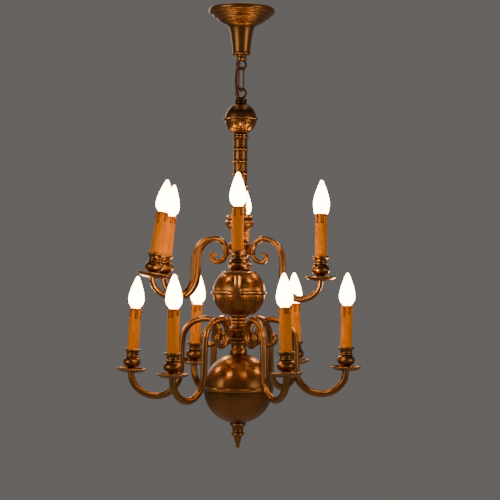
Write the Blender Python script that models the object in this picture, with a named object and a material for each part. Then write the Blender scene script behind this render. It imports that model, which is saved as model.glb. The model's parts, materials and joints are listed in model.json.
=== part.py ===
"""A twelve-light brass chandelier on one chain link, modelled piece by piece.

Metres, +Z up. The origin is the centre of the ceiling face, and everything hangs below it.
A turned piece is drawn as an outline of (radius, height) points and spun about +Z. An arm is a
bent rod in its own upright plane, with +X pointing outwards, and it is then turned to its place.
"""

import math

import bmesh
import bpy
from mathutils import Matrix

# Driving dimensions.
GAP = 0.0003  # between two pieces that rest on each other
ROD_RADIUS = 0.005  # the threaded tube in the canopy and the tie rod through the column
BORE_RADIUS = 0.0053  # every turned piece that the rod passes through
WALL = 0.0012  # spun brass shells

BRACKET_SIZE = (0.100, 0.020, 0.003)
BRACKET_BOSS_RADIUS = 0.008
BRACKET_BOSS_DROP = 0.012
BLOCK_SIZE = (0.028, 0.014, 0.010)  # the terminal block, under one end of the bracket
BLOCK_OUT = 0.028
BLOCK_EDGE = 0.001
CANOPY_DROP = 0.092
NECK_DROP = 0.098
COLLAR_DROP = 0.1034
COLLAR_RADIUS = 0.0115
ROD_SIDES = 12
CANOPY_SIDES = 22

UPPER_LOOP_Z = -0.112
UPPER_LOOP_RADIUS = 0.0093
UPPER_LOOP_WIRE = 0.0022
LOWER_LOOP_Z = -0.169
LOWER_LOOP_RADIUS = 0.0098
LOWER_LOOP_WIRE = 0.0024
LINK_WIRE = 0.0017
LINK_HALF_WIDTH = 0.0077
LINK_TURN = math.radians(-50)  # of the link's flat side, from +X
UPPER_PIVOT_Z = UPPER_LOOP_Z - UPPER_LOOP_RADIUS
LINK_PLAY = 0.0005  # between the link and a loop, where they touch under load
LINK_TOP_Z = UPPER_PIVOT_Z + UPPER_LOOP_WIRE + LINK_WIRE + LINK_PLAY
LINK_BOTTOM_Z = LOWER_LOOP_Z + LOWER_LOOP_RADIUS - LOWER_LOOP_WIRE - LINK_WIRE - LINK_PLAY

FLEX_RADIUS = 0.003
FLEX_ROUTE = (  # by hand: out of the collar, round the link's side and into the lower collar
    (-0.0040, -0.0070, -0.1037),
    (-0.0043, -0.0070, -0.1100),
    (-0.0060, -0.0068, -0.1180),
    (-0.0083, -0.0064, -0.1270),
    (-0.0096, -0.0060, -0.1370),
    (-0.0098, -0.0060, -0.1460),
    (-0.0092, -0.0062, -0.1550),
    (-0.0078, -0.0065, -0.1640),
    (-0.0062, -0.0069, -0.1720),
    (-0.0055, -0.0070, -0.1807),
)

SMALL_BALL = {"centre": -0.2208, "radius": 0.0318, "bead": 0.0350, "top": -0.1903, "bottom": -0.2510}
MIDDLE_BALL = {"centre": -0.5680, "radius": 0.0523, "bead": 0.0556, "top": -0.5254, "bottom": -0.6110}
BIG_BALL = {"centre": -0.7590, "radius": 0.0694, "bead": 0.0715, "top": -0.6886, "bottom": -0.8270}

COLUMN_TOP, COLUMN_BOTTOM = -0.2513, -0.4101
COLUMN_RADIUS, COLUMN_RING_RADIUS = 0.0138, 0.0156
COLUMN_RINGS = 7
COLUMN_FIRST_RING, COLUMN_RING_PITCH = -0.2572, 0.0245
COLUMN_RING_HALF = 0.0018
BALL_LIP = 0.0022  # how far the bead reaches up each half of a ball
TIE_ROD_TOP, TIE_ROD_FOOT = -0.1903, -0.8390
FINIAL_BORE_TOP = -0.8400

STUB_RADIUS = 0.0045  # the hub's bosses, which the arms are screwed to
STUB_START = 0.012
STUB_SIDES = 6
TURNED_SIDES = 14
BALL_SIDES = 18
LIGHT_SIDES = 8

# One tier of arms. Its rod starts under the drip pan and dips in a U-bend of two quarter ellipses,
# from the light's reach down to the bend's middle and up again to the inner reach. It climbs
# straight to the curl, a chain of quarter turns of smaller and smaller radius, the last cut short.
# A light is its direction from the front (degrees), its distance out, the height of its pan's
# foot, and its lean towards the column (degrees). All are hand-bent, so no two are quite alike.
UPPER_TIER = {
    "name": "upper",
    "lights": (
        (2.6, 0.182, -0.535, 0.0),
        (61.5, 0.185, -0.543, -0.3),
        (118.7, 0.185, -0.543, 0.0),
        (181.0, 0.182, -0.537, 1.0),
        (241.5, 0.185, -0.541, 7.3),
        (297.5, 0.185, -0.540, 9.0),
    ),
    "bend_middle": 0.139,
    "bend_depth": 0.037,
    "inner_reach": 0.0985,
    "inner_top": -0.5280,
    "curl_foot": (0.0980, -0.5025),
    "curl": (0.042, 0.026, 0.021, 0.0105, 0.0065),
    "rod": 0.0055,
    "tip": 0.0037,
    "stub_z": -0.4855,
    "stub_end": 0.0243,
}
LOWER_TIER = {
    "name": "lower",
    "lights": (
        (28.5, 0.214, -0.722, 4.5),
        (87.8, 0.214, -0.721, -0.6),
        (148.9, 0.214, -0.721, 2.8),
        (210.3, 0.214, -0.724, 7.0),
        (267.8, 0.217, -0.731, 3.6),
        (328.8, 0.214, -0.727, 0.8),
    ),
    "bend_middle": 0.165,
    "bend_depth": 0.046,
    "inner_reach": 0.1160,
    "inner_top": -0.7220,
    "curl_foot": (0.1140, -0.6670),
    "curl": (0.046, 0.030, 0.022, 0.014, 0.007),
    "rod": 0.00675,
    "tip": 0.0045,
    "stub_z": -0.6510,
    "stub_end": 0.0308,
}
ARM_TENON = 0.007  # how far the rod runs up into its light's cup
LAST_TURN = 60.0  # degrees of the curl's last, cut-short quarter
TAPER_FROM = 0.35  # the share of an arm's points where it starts to get finer
# Heights along a light's own axis, from the pan's underside.
CUP_TOP = 0.048
SLEEVE_FOOT = 0.044
SLEEVE_TOP = 0.129
SLEEVE_RADIUS = 0.0114
SLEEVE_BORE = 0.0102
HOLDER_RADIUS = 0.0098
HOLDER_TOP = 0.1298
HOLDER_FLOOR = 0.105
SOCKET_RADIUS = 0.0077
SOCKET_FLOOR = 0.110
CAP_RADIUS = 0.0067
BULB_TIP = 0.194


def clear_scene():
    """Take away whatever the scene holds."""
    for thing in list(bpy.data.objects):
        bpy.data.objects.remove(thing, do_unlink=True)


def finish(name, colour, roughness, metallic):
    """A plain Principled material, with its colour in linear values."""
    made = bpy.data.materials.new(name)
    made.use_nodes = True
    shader = made.node_tree.nodes["Principled BSDF"]
    shader.inputs["Base Color"].default_value = (*colour, 1.0)
    shader.inputs["Roughness"].default_value = roughness
    shader.inputs["Metallic"].default_value = metallic
    return made


def arc(centre, radius, start, end, steps):
    """Points round part of a circle, its angles in degrees from +X, both ends included."""
    points = []
    for step in range(steps + 1):
        angle = math.radians(start + (end - start) * step / steps)
        points.append((centre[0] + radius * math.cos(angle), centre[1] + radius * math.sin(angle)))
    return points


def spun_mesh(name, outline, sides):
    """Spin an outline about +Z. It is a closed loop, or a line that starts and ends on the axis."""
    on_axis = outline[0][0] == 0.0 and outline[-1][0] == 0.0
    shape = bmesh.new()
    verts = [shape.verts.new((radius, 0.0, height)) for radius, height in outline]
    pairs = list(zip(verts, verts[1:]))
    if not on_axis:
        pairs.append((verts[-1], verts[0]))
    edges = [shape.edges.new(pair) for pair in pairs]
    bmesh.ops.spin(shape, geom=verts + edges, axis=(0, 0, 1), cent=(0, 0, 0),
                   steps=sides, angle=math.tau, use_merge=True)
    bmesh.ops.remove_doubles(shape, verts=shape.verts, dist=1e-6)
    bmesh.ops.recalc_face_normals(shape, faces=shape.faces)
    mesh = bpy.data.meshes.new(name)
    shape.to_mesh(mesh)
    shape.free()
    return mesh


def placed(name, mesh, material, parent=None, at=None):
    """Make a named piece of a mesh, dress it and place it under its parent."""
    piece = bpy.data.objects.new(name, mesh)
    bpy.context.collection.objects.link(piece)
    mesh.materials.clear()
    mesh.materials.append(material)
    mesh.shade_smooth()
    mesh.set_sharp_from_angle(angle=math.radians(35))
    if parent:
        piece.parent = parent
        piece.matrix_parent_inverse = parent.matrix_world.inverted()
    piece.matrix_world = at or Matrix.Identity(4)
    return piece


def pivot(name, location, parent=None):
    """An empty on a joint's axis, which carries the pieces that move with it."""
    empty = bpy.data.objects.new(name, None)
    bpy.context.collection.objects.link(empty)
    empty.location = location
    if parent:
        empty.parent = parent
        empty.matrix_parent_inverse = parent.matrix_world.inverted()
    bpy.context.view_layer.update()
    return empty


def turned(name, outline, material, parent, sides=TURNED_SIDES):
    """A turned piece on the chandelier's own axis."""
    return placed(name, spun_mesh(name, outline, sides), material, parent)


def bored(outline):
    """Close a turned outline down the bore that the rod passes through."""
    return outline + [(BORE_RADIUS, outline[-1][1]), (BORE_RADIUS, outline[0][1])]


def joined(name, meshes):
    """Unite meshes that run into each other into one closed body."""
    solids = []
    for mesh in meshes:
        solid = bpy.data.objects.new(mesh.name, mesh)
        bpy.context.collection.objects.link(solid)
        solids.append(solid)
    first = solids[0]
    for other in solids[1:]:
        union = first.modifiers.new("union", "BOOLEAN")
        union.operation = "UNION"
        union.solver = "EXACT"
        union.object = other
    bpy.context.view_layer.update()
    shape = first.evaluated_get(bpy.context.evaluated_depsgraph_get())
    whole = bpy.data.meshes.new_from_object(shape)
    whole.name = name
    for solid in solids:
        bpy.data.objects.remove(solid, do_unlink=True)
    return whole


def rod_mesh(name, points, radii, resolution, closed=False):
    """A round rod that follows points, with a radius for each of them."""
    curve = bpy.data.curves.new(name, "CURVE")
    curve.dimensions = "3D"
    curve.bevel_depth = 1.0
    curve.bevel_resolution = resolution
    curve.use_fill_caps = not closed
    line = curve.splines.new("POLY")
    line.points.add(len(points) - 1)
    for place, point, radius in zip(line.points, points, radii):
        place.co = (*point, 1.0)
        place.radius = radius
    line.use_cyclic_u = closed
    holder = bpy.data.objects.new(name, curve)
    bpy.context.collection.objects.link(holder)
    bpy.context.view_layer.update()
    mesh = bpy.data.meshes.new_from_object(holder.evaluated_get(bpy.context.evaluated_depsgraph_get()))
    bpy.data.objects.remove(holder, do_unlink=True)
    shape = bmesh.new()
    shape.from_mesh(mesh)
    bmesh.ops.remove_doubles(shape, verts=shape.verts, dist=1e-6)
    bmesh.ops.recalc_face_normals(shape, faces=shape.faces)
    shape.to_mesh(mesh)
    shape.free()
    return mesh


def wire_ring(name, centre_z, radius, wire):
    """A ring of wire that stands upright in the XZ plane."""
    points = [(x, 0.0, centre_z + z) for x, z in arc((0, 0), radius, 0, 360, 16)[:-1]]
    return rod_mesh(name, points, [wire] * len(points), 1, closed=True)


def smooth_line(points, per_span):
    """A Catmull-Rom curve through the points, so that a few of them give a soft line."""
    ends = [points[0], *points, points[-1]]
    line = []
    for before, start, end, after in zip(ends, ends[1:], ends[2:], ends[3:]):
        for step in range(per_span):
            t = step / per_span
            line.append(tuple(
                0.5 * (2 * b + (c - a) * t + (2 * a - 5 * b + 4 * c - d) * t**2
                       + (3 * b - a - 3 * c + d) * t**3)
                for a, b, c, d in zip(before, start, end, after)))
    return [*line, points[-1]]


def make_ceiling_fitting(brass, steel, block):
    """The bracket, canopy, threaded tube, neck, upper loop and terminal block."""
    thick = BRACKET_SIZE[2]
    shape = bmesh.new()
    bmesh.ops.create_cube(shape, size=1.0)
    bmesh.ops.scale(shape, vec=BRACKET_SIZE, verts=shape.verts)
    bmesh.ops.translate(shape, vec=(0, 0, -thick / 2), verts=shape.verts)
    plate = bpy.data.meshes.new("plate")
    shape.to_mesh(plate)
    shape.free()
    boss_line = bored([(BRACKET_BOSS_RADIUS, -thick / 2), (BRACKET_BOSS_RADIUS, -BRACKET_BOSS_DROP)])
    boss = spun_mesh("boss", boss_line, ROD_SIDES)
    placed("ceiling_bracket", joined("ceiling_bracket", [plate, boss]), steel)

    outer = [(0.066, 0.0), (0.066, -0.008), (0.0555, -0.0128), (0.047, -0.019), (0.0425, -0.024),
             (0.030, -0.031), (0.0245, -0.038), (0.0214, -0.052), (0.0187, -0.075),
             (0.0176, -0.088), (0.0176, -CANOPY_DROP)]
    inner = [(BORE_RADIUS, -CANOPY_DROP), (BORE_RADIUS, -CANOPY_DROP + WALL), (0.0160, -CANOPY_DROP + WALL),
             (0.0200, -0.052), (0.0231, -0.0375), (0.0290, -0.0300), (0.0415, -0.0228),
             (0.0648, -0.0072), (0.0648, 0.0)]
    turned("canopy", outer + inner, brass, None, sides=CANOPY_SIDES)

    tube_top, tube_foot = -thick - GAP, -NECK_DROP - GAP
    turned("canopy_stem", [(0.0, tube_top), (ROD_RADIUS, tube_top), (ROD_RADIUS, tube_foot), (0.0, tube_foot)],
           steel, None, sides=ROD_SIDES)
    neck = [(0.0098, -CANOPY_DROP - GAP), (0.0103, -0.0945), (0.0092, -NECK_DROP)]
    turned("canopy_neck", bored(neck), brass, None)

    collar_top = -NECK_DROP - 2 * GAP
    collar = spun_mesh("collar", [(0.0, collar_top), (COLLAR_RADIUS, collar_top),
                                  (COLLAR_RADIUS, -COLLAR_DROP), (0.0, -COLLAR_DROP)], TURNED_SIDES)
    ring = wire_ring("ring", UPPER_LOOP_Z, UPPER_LOOP_RADIUS, UPPER_LOOP_WIRE)
    placed("upper_loop", joined("upper_loop", [collar, ring]), brass)

    shape = bmesh.new()
    bmesh.ops.create_cube(shape, size=1.0)
    bmesh.ops.scale(shape, vec=BLOCK_SIZE, verts=shape.verts)
    bmesh.ops.translate(shape, vec=(BLOCK_OUT, 0, -thick - GAP - BLOCK_SIZE[2] / 2), verts=shape.verts)
    bmesh.ops.bevel(shape, geom=shape.edges[:], offset=BLOCK_EDGE, segments=1, profile=0.5,
                    affect="EDGES", material=-1)
    mesh = bpy.data.meshes.new("terminal_block")
    shape.to_mesh(mesh)
    shape.free()
    placed("terminal_block", mesh, block)


def make_link(brass, parent):
    """The long oval link between the two loops."""
    half_straight = (LINK_TOP_Z - LINK_BOTTOM_Z) / 2 - LINK_HALF_WIDTH
    middle = (LINK_TOP_Z + LINK_BOTTOM_Z) / 2
    oval = arc((0, middle + half_straight), LINK_HALF_WIDTH, 0, 180, 8)
    oval += arc((0, middle - half_straight), LINK_HALF_WIDTH, 180, 360, 8)
    points = [(s * math.cos(LINK_TURN), s * math.sin(LINK_TURN), z) for s, z in oval]
    mesh = rod_mesh("chain_link", points, [LINK_WIRE] * len(points), 1, closed=True)
    mesh.transform(Matrix.Translation(-parent.matrix_world.translation))
    placed("chain_link", mesh, brass, parent, parent.matrix_world.copy())


def make_flex(material):
    """The supply flex, from the canopy's collar to the collar of the lower loop."""
    line = smooth_line(FLEX_ROUTE, 2)
    placed("supply_flex", rod_mesh("supply_flex", line, [FLEX_RADIUS] * len(line), 2), material)


def ball_halves(name, ball, material, parent):
    """The two spun halves of a hollow ball. They meet at a bead, and the rod passes through both."""
    centre, radius, bead = ball["centre"], ball["radius"], ball["bead"]
    inner_radius = radius - WALL
    for part, cut, side in (("top", ball["top"], 1), ("bottom", ball["bottom"], -1)):
        rise = min(abs(cut - centre), math.sqrt(radius**2 - BORE_RADIUS**2))
        inner_rise = min(rise - WALL, math.sqrt(inner_radius**2 - BORE_RADIUS**2))
        seam = centre + side * GAP / 2
        outer = arc((0, 0), radius, math.degrees(math.asin(rise / radius)), 6, 5)
        inner = arc((0, 0), inner_radius, 3, math.degrees(math.asin(inner_rise / inner_radius)), 4)
        half = [(BORE_RADIUS, rise)] if outer[0][0] > BORE_RADIUS + GAP else []
        half += outer + [(radius, BALL_LIP), (bead, BALL_LIP / 2), (bead, 0.0), (inner_radius, 0.0)]
        half += inner
        half += [(BORE_RADIUS, inner_rise)] if inner[-1][0] > BORE_RADIUS + GAP else []
        outline = [(r, seam + side * z) for r, z in half]
        turned(f"{name}_{part}", outline, material, parent, sides=BALL_SIDES)


def make_column(brass, steel, parent):
    """The lower loop, the balls and the turned pieces that the tie rod holds together."""
    collar = spun_mesh("collar", [(0.0, -0.1782), (0.0050, -0.1782), (0.0062, -0.1811), (0.0123, -0.1811),
                                  (0.0123, -0.1886), (0.0105, -0.1900), (0.0, -0.1900)], TURNED_SIDES)
    ring = wire_ring("ring", LOWER_LOOP_Z, LOWER_LOOP_RADIUS, LOWER_LOOP_WIRE)
    placed("lower_loop", joined("lower_loop", [collar, ring]), brass, parent)

    ball_halves("small_ball", SMALL_BALL, brass, parent)
    ball_halves("middle_ball", MIDDLE_BALL, brass, parent)
    ball_halves("big_ball", BIG_BALL, brass, parent)

    column = [(0.0100, COLUMN_TOP), (0.0149, COLUMN_TOP - 0.0005), (0.0149, COLUMN_TOP - 0.0028)]
    for ring_index in range(COLUMN_RINGS):
        height = COLUMN_FIRST_RING - ring_index * COLUMN_RING_PITCH
        column += [(COLUMN_RADIUS, height + COLUMN_RING_HALF), (COLUMN_RING_RADIUS, height),
                   (COLUMN_RADIUS, height - COLUMN_RING_HALF)]
    column += [(COLUMN_RADIUS, COLUMN_BOTTOM)]
    turned("column", bored(column), brass, parent)

    turned("knob", bored([
        (0.0145, -0.4104), (0.0200, -0.4125), (0.0266, -0.4140), (0.0266, -0.4205), (0.0240, -0.4215),
        (0.0240, -0.4230), (0.0292, -0.4260), (0.0270, -0.4340), (0.0200, -0.4430), (0.0100, -0.4494),
        (0.0100, -0.4510), (0.0150, -0.4525), (0.0150, -0.4555), (0.0110, -0.4568)]), brass, parent)

    turned("upper_neck", bored([
        (0.0168, -0.5021), (0.0168, -0.5050), (0.0240, -0.5086), (0.0240, -0.5122), (0.0190, -0.5150),
        (0.0220, -0.5185), (0.0220, -0.5215), (0.0170, -0.5251)]), brass, parent)
    turned("middle_neck", bored([
        (0.0170, -0.6113), (0.0204, -0.6125), (0.0204, -0.6145), (0.0160, -0.6175), (0.0180, -0.6195),
        (0.0180, -0.6220), (0.0140, -0.6245), (0.0154, -0.6265), (0.0154, -0.6290), (0.0128, -0.6310),
        (0.0140, -0.6325), (0.0140, -0.6350)]), brass, parent)
    turned("lower_neck", bored([
        (0.0170, -0.6649), (0.0170, -0.6680), (0.0148, -0.6730), (0.0148, -0.6790), (0.0175, -0.6830),
        (0.0175, -0.6911), (BORE_RADIUS, -0.6890)]), brass, parent)

    upper_hub = bored([
        (0.0110, -0.4571), (0.0120, -0.4610), (0.0190, -0.4680), (0.0215, -0.4720), (0.0215, -0.4895),
        (0.0190, -0.4940), (0.0160, -0.4970), (0.0160, -0.5018)])
    lower_hub = bored([
        (0.0150, -0.6353), (0.0220, -0.6385), (0.0240, -0.6420), (0.0240, -0.6590), (0.0220, -0.6620),
        (0.0170, -0.6646)])
    for tier, outline in ((UPPER_TIER, upper_hub), (LOWER_TIER, lower_hub)):
        name, end = f"{tier['name']}_hub", tier["stub_end"]
        pieces = [spun_mesh(name, outline, TURNED_SIDES)]
        for angle, *_ in tier["lights"]:
            stub = spun_mesh("stub", [(0.0, STUB_START), (STUB_RADIUS, STUB_START), (STUB_RADIUS, end),
                                      (0.0, end)], STUB_SIDES)
            stub.transform(radial_frame(angle) @ Matrix.Translation((0, 0, tier["stub_z"]))
                           @ Matrix.Rotation(math.radians(90), 4, "Y"))
            pieces.append(stub)
        placed(name, joined(name, pieces), brass, parent)

    turned("finial", [
        (0.0, FINIAL_BORE_TOP), (BORE_RADIUS, FINIAL_BORE_TOP), (BORE_RADIUS, -0.8274), (0.0150, -0.8274),
        (0.0161, -0.8290), (0.0161, -0.8325), (0.0120, -0.8360), (0.0108, -0.8440), (0.0130, -0.8480),
        (0.0130, -0.8514), (0.0085, -0.8550), (0.0050, -0.8660), (0.0036, -0.8720), (0.0042, -0.8750),
        (0.0028, -0.8776), (0.0, -0.8782)], brass, parent)
    turned("tie_rod", [(0.0, TIE_ROD_TOP), (ROD_RADIUS, TIE_ROD_TOP), (ROD_RADIUS, TIE_ROD_FOOT),
                       (0.0, TIE_ROD_FOOT)], steel, parent, sides=ROD_SIDES)


def radial_frame(angle):
    """The upright plane of one arm: its +X points outwards."""
    return Matrix.Rotation(math.radians(angle - 90.0), 4, "Z")


def light_frame(light):
    """A light's own frame on the end of its arm, leaning a little towards the column."""
    angle, reach, end_z, lean = light
    foot = Matrix.Translation((reach, 0.0, end_z))
    return radial_frame(angle) @ foot @ Matrix.Rotation(math.radians(-lean), 4, "Y")


def arm_line(tier, light):
    """Points down the middle of an arm's rod, in its own plane, from the pan to the curl's tip."""
    _, reach, end_z, _ = light
    middle, depth, inner_top = tier["bend_middle"], tier["bend_depth"], tier["inner_top"]
    half_width, rise = middle - tier["inner_reach"], inner_top - (end_z - depth)
    line = [(reach, end_z + ARM_TENON)]
    line += [(middle + (reach - middle) * x, end_z + depth * z) for x, z in arc((0, 0), 1.0, 0, -90, 4)]
    line += [(middle + half_width * x, inner_top + rise * z) for x, z in arc((0, 0), 1.0, -90, -180, 4)[1:]]
    line.append(tier["curl_foot"])
    here, turn = line[-1], 0.0
    for quarter, radius in enumerate(tier["curl"]):
        angle = math.radians(turn)
        centre = (here[0] - radius * math.cos(angle), here[1] - radius * math.sin(angle))
        sweep = LAST_TURN if radius == tier["curl"][-1] else 90.0
        quarter_points = arc(centre, radius, turn, turn + sweep, 3 if quarter < 3 else 2)
        line += quarter_points[1:]
        here, turn = quarter_points[-1], turn + sweep
    return line


def rod_radii(tier, count):
    """An arm's radius at each point: full size up to the curl, then finer towards its tip."""
    radii = []
    for index in range(count):
        along = max(0.0, (index / (count - 1) - TAPER_FROM) / (1 - TAPER_FROM))
        radii.append(tier["rod"] + (tier["tip"] - tier["rod"]) * along)
    return radii


CUP_OUTLINE = [
    (0.0, 0.0), (0.0210, 0.0010), (0.0300, 0.0085), (0.0293, 0.0092), (0.0200, 0.0030), (0.0084, 0.0026),
    (0.0084, 0.0110), (0.0150, 0.0155), (0.0176, 0.0225), (0.0152, 0.0290), (0.0122, 0.0325),
    (0.0118, 0.0390), (0.0158, 0.0450), (0.0158, CUP_TOP), (0.01175, CUP_TOP),
    (0.01175, SLEEVE_FOOT - GAP), (0.0, SLEEVE_FOOT - GAP),
]
CANDLE_OUTLINE = [
    (0.0, SOCKET_FLOOR), (SOCKET_RADIUS, SOCKET_FLOOR), (SOCKET_RADIUS, HOLDER_TOP),
    (HOLDER_RADIUS, HOLDER_TOP), (HOLDER_RADIUS, SLEEVE_TOP), (SLEEVE_RADIUS, SLEEVE_TOP),
    (SLEEVE_RADIUS, SLEEVE_FOOT), (SLEEVE_BORE, SLEEVE_FOOT), (SLEEVE_BORE, HOLDER_FLOOR), (0.0, HOLDER_FLOOR),
]
BULB_OUTLINE = [
    (0.0, SOCKET_FLOOR + GAP), (CAP_RADIUS, SOCKET_FLOOR + GAP), (CAP_RADIUS, 0.1310), (0.0104, 0.1330),
    (0.0152, 0.1395), (0.0164, 0.1475), (0.0143, 0.1620), (0.0082, 0.1790), (0.0, BULB_TIP),
]


def make_tier(tier, brass, wax, glass, parent):
    """Six arms with their drip pans and cups, and the candle and the bulb on each."""
    bulb_mesh = spun_mesh("bulb", BULB_OUTLINE, LIGHT_SIDES)
    candle_mesh = spun_mesh("candle", CANDLE_OUTLINE, LIGHT_SIDES)
    for number, light in enumerate(tier["lights"], start=1):
        label = f"{tier['name']}_{{}}_{number}"
        line = [(x, 0.0, z) for x, z in arm_line(tier, light)]
        rod = rod_mesh("rod", line, rod_radii(tier, len(line)), 1)
        rod.transform(radial_frame(light[0]))
        cup = spun_mesh("cup", CUP_OUTLINE, LIGHT_SIDES)
        stand = light_frame(light)
        cup.transform(stand)
        arm = label.format("arm")
        placed(arm, joined(arm, [rod, cup]), brass, parent)
        placed(label.format("candle"), candle_mesh, wax, parent, stand)
        placed(label.format("bulb"), bulb_mesh, glass, parent, stand)


def main():
    """Build the chandelier from the ceiling down."""
    clear_scene()
    brass = finish("aged_brass", (0.30, 0.155, 0.055), 0.28, 1.0)
    dark_brass = finish("dark_brass", (0.13, 0.075, 0.035), 0.38, 1.0)
    steel = finish("steel", (0.45, 0.44, 0.42), 0.4, 1.0)
    block = finish("white_plastic", (0.75, 0.74, 0.70), 0.5, 0.0)
    wax = finish("amber_sleeve", (0.72, 0.28, 0.05), 0.35, 0.0)
    glass = finish("opal_glass", (0.95, 0.90, 0.80), 0.3, 0.0)
    flex = finish("brown_flex", (0.12, 0.03, 0.015), 0.5, 0.0)

    link_pivot = pivot("link_pivot", (0, 0, UPPER_PIVOT_Z))
    swing_pivot = pivot("swing_pivot", (0, 0, LINK_BOTTOM_Z), link_pivot)
    make_ceiling_fitting(brass, steel, block)
    make_link(dark_brass, link_pivot)
    make_flex(flex)
    make_column(brass, steel, swing_pivot)
    make_tier(UPPER_TIER, brass, wax, glass, swing_pivot)
    make_tier(LOWER_TIER, brass, wax, glass, swing_pivot)


main()
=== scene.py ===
"""The looks of a twelve-light brass chandelier in the Dutch manner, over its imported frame.

Outlines are in millimetres: (radius, height, fillet). A turned piece's heights count down from
the top of the CAD node that it stands for, and a light's count up its own axis from the foot of
its drip pan. Every finished mesh is in metres, in the frame's own coordinates.
"""

from __future__ import annotations

import json
import logging
import math
import random
from collections.abc import Callable, Sequence
from dataclasses import dataclass, field
from enum import Enum

import bmesh
import bpy
from mathutils import Matrix, Vector


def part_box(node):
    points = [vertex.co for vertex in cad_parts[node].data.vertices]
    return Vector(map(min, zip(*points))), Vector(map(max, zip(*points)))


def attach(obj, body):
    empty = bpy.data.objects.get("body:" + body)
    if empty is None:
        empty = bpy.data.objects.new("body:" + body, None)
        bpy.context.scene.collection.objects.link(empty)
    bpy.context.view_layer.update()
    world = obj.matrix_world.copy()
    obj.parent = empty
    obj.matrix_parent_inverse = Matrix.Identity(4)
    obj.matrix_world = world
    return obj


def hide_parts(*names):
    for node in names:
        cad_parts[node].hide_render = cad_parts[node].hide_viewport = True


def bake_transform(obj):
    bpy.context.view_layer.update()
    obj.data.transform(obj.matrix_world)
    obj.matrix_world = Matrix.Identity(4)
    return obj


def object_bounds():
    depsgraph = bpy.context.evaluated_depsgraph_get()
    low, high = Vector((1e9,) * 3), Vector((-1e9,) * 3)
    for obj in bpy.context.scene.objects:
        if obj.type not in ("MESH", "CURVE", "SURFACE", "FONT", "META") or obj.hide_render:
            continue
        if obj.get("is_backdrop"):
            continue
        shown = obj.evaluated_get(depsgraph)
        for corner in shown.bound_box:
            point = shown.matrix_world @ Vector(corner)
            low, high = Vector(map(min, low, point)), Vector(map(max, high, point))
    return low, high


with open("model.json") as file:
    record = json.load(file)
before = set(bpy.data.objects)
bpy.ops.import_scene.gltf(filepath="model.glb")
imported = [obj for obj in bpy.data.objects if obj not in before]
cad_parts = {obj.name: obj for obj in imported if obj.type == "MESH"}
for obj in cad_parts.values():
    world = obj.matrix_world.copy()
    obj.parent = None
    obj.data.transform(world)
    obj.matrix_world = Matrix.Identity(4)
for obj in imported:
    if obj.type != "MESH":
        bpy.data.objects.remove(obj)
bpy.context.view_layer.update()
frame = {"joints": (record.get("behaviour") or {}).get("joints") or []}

LOG = logging.getLogger("chandelier")
MM = 0.001
FITTING, LINK, CHANDELIER = "ceiling_fitting", "link", "chandelier"
ARMS_PER_TIER = 6
ROD_BORE = 5.3  # the radius of the bore in every piece on the tie rod or the threaded tube
SOCKET_FLOOR = 110.0  # the bulb's joint, up a light's axis
SHARP_EDGE = 42.0  # degrees past which an edge isn't shaded smooth
STRAP_SHARP = 30.0
Corner = tuple[float, float, float]
Point = tuple[float, float]


class Tier(Enum):
    """The two rings of arms, by the word that their CAD nodes start with."""

    UPPER = "upper"
    LOWER = "lower"


class Half(Enum):
    """The two spun halves of a hollow ball, by the way that each domes."""

    TOP = 1
    BOTTOM = -1


# ---------------------------------------------------------------- finishes


def linear(hex_colour: str) -> tuple[float, float, float, float]:
    """Turn an sRGB hex colour into linear values.

    Args:
        hex_colour: Six hex digits, with or without a leading hash.

    Returns:
        Linear red, green, blue and an alpha of one.
    """
    digits = hex_colour.lstrip("#")
    channels = [int(digits[at : at + 2], 16) / 255 for at in (0, 2, 4)]
    red, green, blue = (c / 12.92 if c <= 0.04045 else ((c + 0.055) / 1.055) ** 2.4 for c in channels)
    return red, green, blue, 1.0


def add_node(tree: bpy.types.NodeTree, kind: str, settings: dict | None = None, **feeds) -> bpy.types.Node:
    """Add one node with its settings, and feed its sockets.

    Args:
        tree: The material's or world's node tree.
        kind: The node's type name, such as ShaderNodeTexNoise.
        settings: Properties of the node itself.
        feeds: Socket values or outputs to link. A name is the socket's, with underscores for
            its spaces, or s followed by the socket's number where names repeat.

    Returns:
        The new node.
    """
    node = tree.nodes.new(kind)
    for key, value in (settings or {}).items():
        setattr(node, key, value)
    for key, value in feeds.items():
        numbered = key[0] == "s" and key[1:].isdigit()
        socket = node.inputs[int(key[1:]) if numbered else key.replace("_", " ")]
        if isinstance(value, bpy.types.NodeSocket):
            tree.links.new(value, socket)
        else:
            socket.default_value = value
    return node


@dataclass(frozen=True)
class Finish:
    """A finish starts from a Principled shader whose constant values stand on its sockets."""

    name: str
    colour: str
    roughness: float
    metallic: float = 0.0
    sockets: tuple[tuple[str, float], ...] = ()

    def make(self) -> bpy.types.Material:
        """Make the material and let the finish draw its pattern.

        Returns:
            The finished material.
        """
        material = bpy.data.materials.new(self.name)
        material.use_nodes = True
        tree = material.node_tree
        shader = tree.nodes["Principled BSDF"]
        shader.inputs["Base Color"].default_value = linear(self.colour)
        shader.inputs["Roughness"].default_value = self.roughness
        shader.inputs["Metallic"].default_value = self.metallic
        for socket, value in self.sockets:
            shader.inputs[socket].default_value = value
        self.draw(tree, shader)
        return material

    def draw(self, tree: bpy.types.NodeTree, shader: bpy.types.Node) -> None:
        """Draw the finish's pattern. A plain finish has none.

        Args:
            tree: The material\'s nodes.
            shader: Its Principled shader.
        """


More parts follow.
